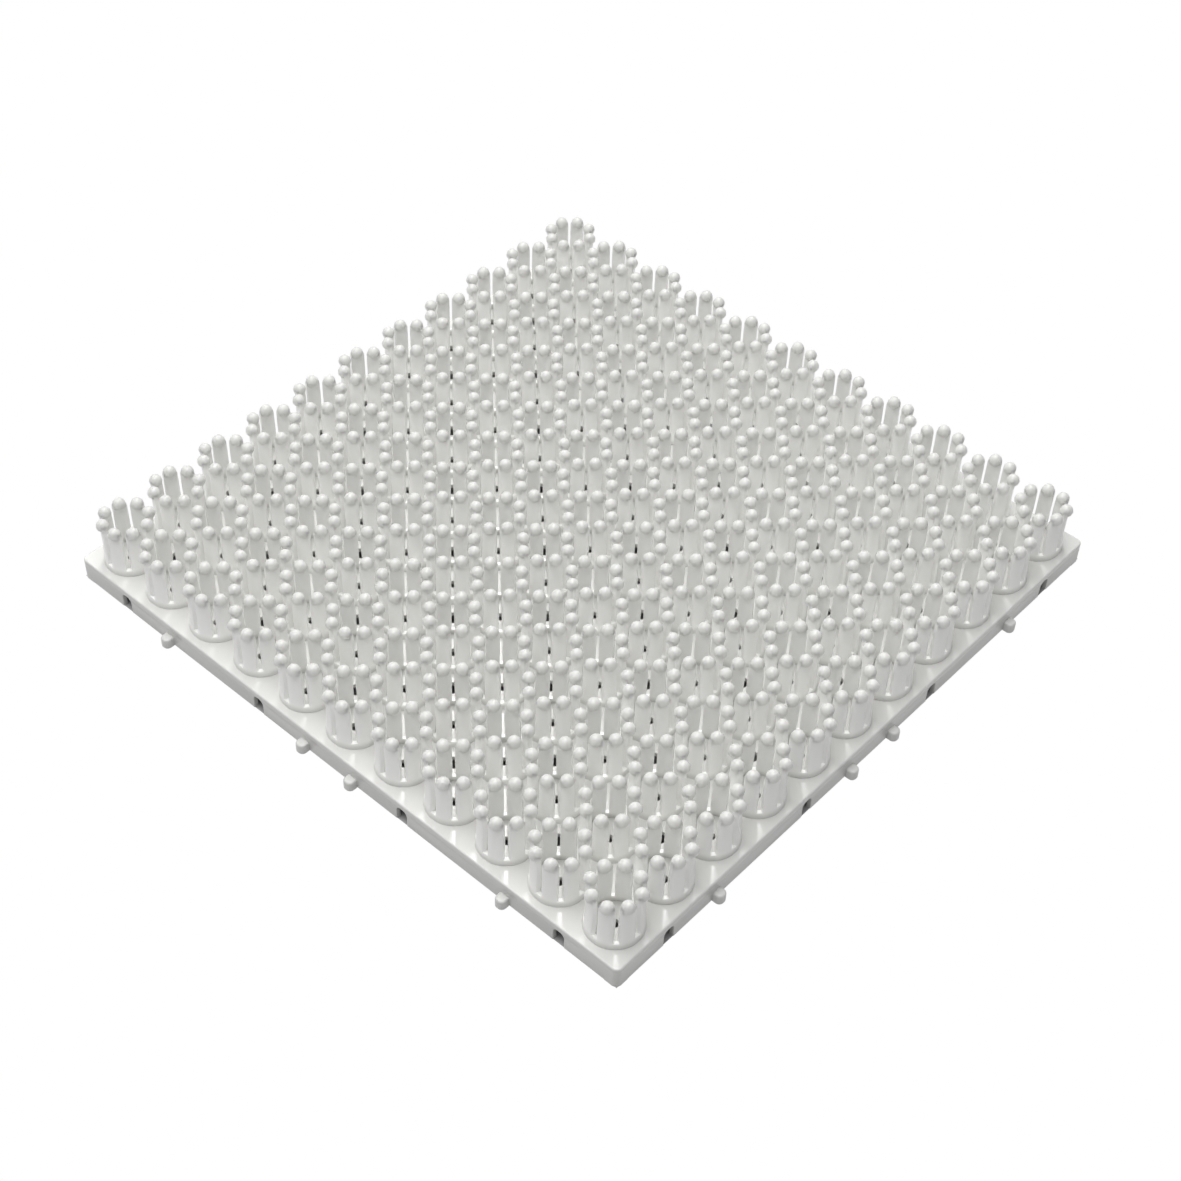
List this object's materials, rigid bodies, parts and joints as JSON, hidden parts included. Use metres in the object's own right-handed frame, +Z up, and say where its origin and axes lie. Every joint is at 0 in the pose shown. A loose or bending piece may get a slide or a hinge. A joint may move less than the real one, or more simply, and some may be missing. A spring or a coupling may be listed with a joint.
{
  "type": "plug tray",
  "caption": "White moulded plug tray tile: a square deck with rows of open cups, each a ring of ball-tipped spring fingers, and tabs and notches round its skirt.",
  "frame": {"origin": "on the ground under the middle of the square deck", "axes": "+Z up through the cups; +X along the front side to the right, +Y from the front side to the back"},
  "size_m": [0.3076, 0.3076, 0.0354],
  "materials": {
    "plastic": "satin white polypropylene"
  },
  "bodies": {
    "root": {"deck_plate": "plastic", "skirt_front": "plastic", "skirt_left": "plastic", "skirt_right": "plastic", "skirt_back": "plastic", "skirt_corners": "plastic", "tabs_front": "plastic", "tabs_left": "plastic", "tabs_right": "plastic", "tabs_back": "plastic", "ribs_long": "plastic", "ribs_cross": "plastic", "cup_row_01": "plastic", "cup_row_02": "plastic", "cup_row_03": "plastic", "cup_row_04": "plastic", "cup_row_05": "plastic", "cup_row_06": "plastic", "cup_row_07": "plastic", "cup_row_08": "plastic", "cup_row_09": "plastic", "cup_row_10": "plastic", "cup_row_11": "plastic"}
  },
  "joints": []
}
